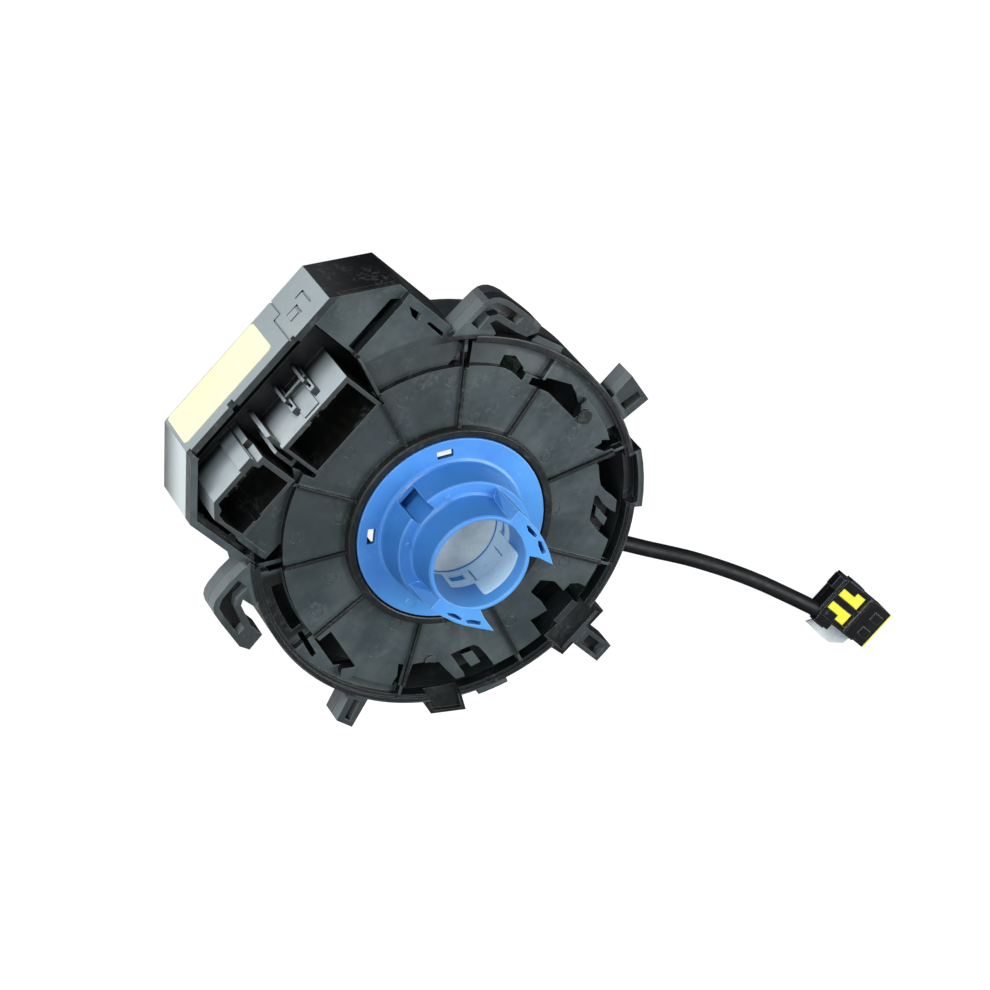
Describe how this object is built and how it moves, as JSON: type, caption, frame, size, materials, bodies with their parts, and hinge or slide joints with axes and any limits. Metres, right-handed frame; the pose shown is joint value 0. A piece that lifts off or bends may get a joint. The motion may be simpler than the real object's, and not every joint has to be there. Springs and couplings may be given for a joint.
{
  "type": "steering clock spring",
  "caption": "Steering clock spring: black ribbed case with a blue cancel-cam hub, side connector block with harness sockets and an airbag lead with a yellow-lock plug.",
  "frame": {"origin": "on the bore axis at the rear face of the blue flange", "axes": "+Z along the bore axis to the rear, out of the hub's mouth; +Y towards the connector block; the part lies on its wheel side"},
  "size_m": [0.1178, 0.2231, 0.0524],
  "materials": {
    "case_black": "glossy moulded black",
    "block_black": "satin moulded black",
    "blue_plastic": "satin moulded blue",
    "lilac_plastic": "satin moulded lilac",
    "film_grey": "matt film",
    "label_yellow": "matt paper like label",
    "pin_brass": "bright plated brass",
    "board_green": "lacquered board",
    "chip_black": "moulded chip",
    "holder_grey": "moulded grey",
    "cable_amber": "satin film cable",
    "gear_white": "satin natural acetal",
    "magnet_grey": "dull sintered magnet",
    "lead_rubber": "satin sleeve",
    "plug_black": "glossy moulded black",
    "yellow_plastic": "satin moulded yellow",
    "flap_pale": "clear pale film",
    "socket_white": "satin moulded white"
  },
  "bodies": {
    "housing": {"rear_case": "case_black", "front_cover": "block_black", "socket_block": "block_black", "label": "label_yellow", "big_socket_pins": "pin_brass", "small_socket_pins": "pin_brass", "sensor_board": "board_green", "sensor_chips": "chip_black", "stator_cable_end": "holder_grey", "cover_latches": "case_black"},
    "rotor": {"rotor_disc": "block_black", "hub": "blue_plastic", "inner_collar": "lilac_plastic", "centre_film": "film_grey", "ring_gear": "gear_white", "rotor_cable_end": "holder_grey", "rotor_socket": "socket_white", "rotor_pins": "pin_brass", "flat_cable": "cable_amber", "pigtail": "lead_rubber", "cord_outlet": "lead_rubber", "plug_housing": "plug_black", "plug_seal": "yellow_plastic", "plug_flap": "flap_pale", "plug_terminals": "pin_brass"},
    "plug_slider": {"plug_lock": "yellow_plastic"},
    "gear_a": {"measuring_gear_a": "gear_white", "magnet_a": "magnet_grey"},
    "gear_b": {"measuring_gear_b": "gear_white", "magnet_b": "magnet_grey"}
  },
  "joints": [
    {"name": "rotor_spin", "type": "hinge", "parent": "housing", "child": "rotor", "pos_m": [0, 0, 0], "axis": [0, 0, 1], "range_deg": [-900, 900]},
    {"name": "gear_a_spin", "type": "hinge", "parent": "housing", "child": "gear_a", "pos_m": [0.0192, 0.03463, -0.008], "axis": [0, 0, 1], "range_deg": [-4500, 4500]},
    {"name": "gear_b_spin", "type": "hinge", "parent": "housing", "child": "gear_b", "pos_m": [0.03248, 0.0236, -0.008], "axis": [0, 0, 1], "range_deg": [-4160, 4160]},
    {"name": "plug_lock_slide", "type": "slide", "parent": "rotor", "child": "plug_slider", "axis": [0, -1, 0], "range_m": [0, 0.0014]}
  ],
  "couplings": [
    {"joint": "gear_a_spin", "follows": "rotor_spin", "ratio": -5},
    {"joint": "gear_b_spin", "follows": "rotor_spin", "ratio": -4.6154}
  ]
}
